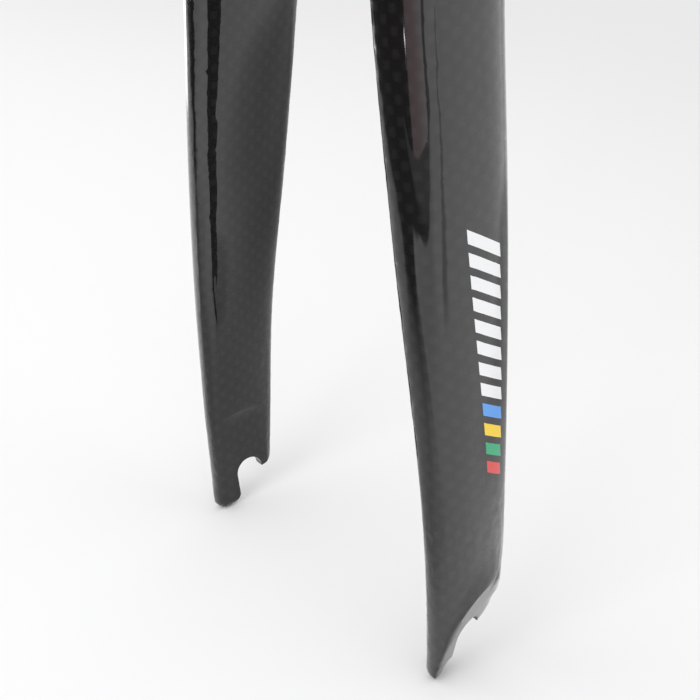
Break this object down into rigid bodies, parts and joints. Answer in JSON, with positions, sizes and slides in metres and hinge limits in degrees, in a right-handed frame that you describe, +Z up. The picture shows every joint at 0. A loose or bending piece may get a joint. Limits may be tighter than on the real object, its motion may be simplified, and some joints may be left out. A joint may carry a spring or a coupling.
{
  "type": "rigid bicycle fork",
  "caption": "Moulded carbon road bicycle fork: straight raked blades that flare from an arched crown to open dropouts, under a plain round steerer tube.",
  "frame": {"origin": "on the steerer axis, at the shoulder that the crown race sits on", "axes": "+Z up the steerer, +X forwards towards the axle, +Y to the rider's left"},
  "size_m": [0.0758, 0.1192, 0.6782],
  "materials": {
    "carbon": "gloss clear coat over a plain carbon weave"
  },
  "bodies": {
    "root": {"fork": "carbon"}
  },
  "joints": []
}
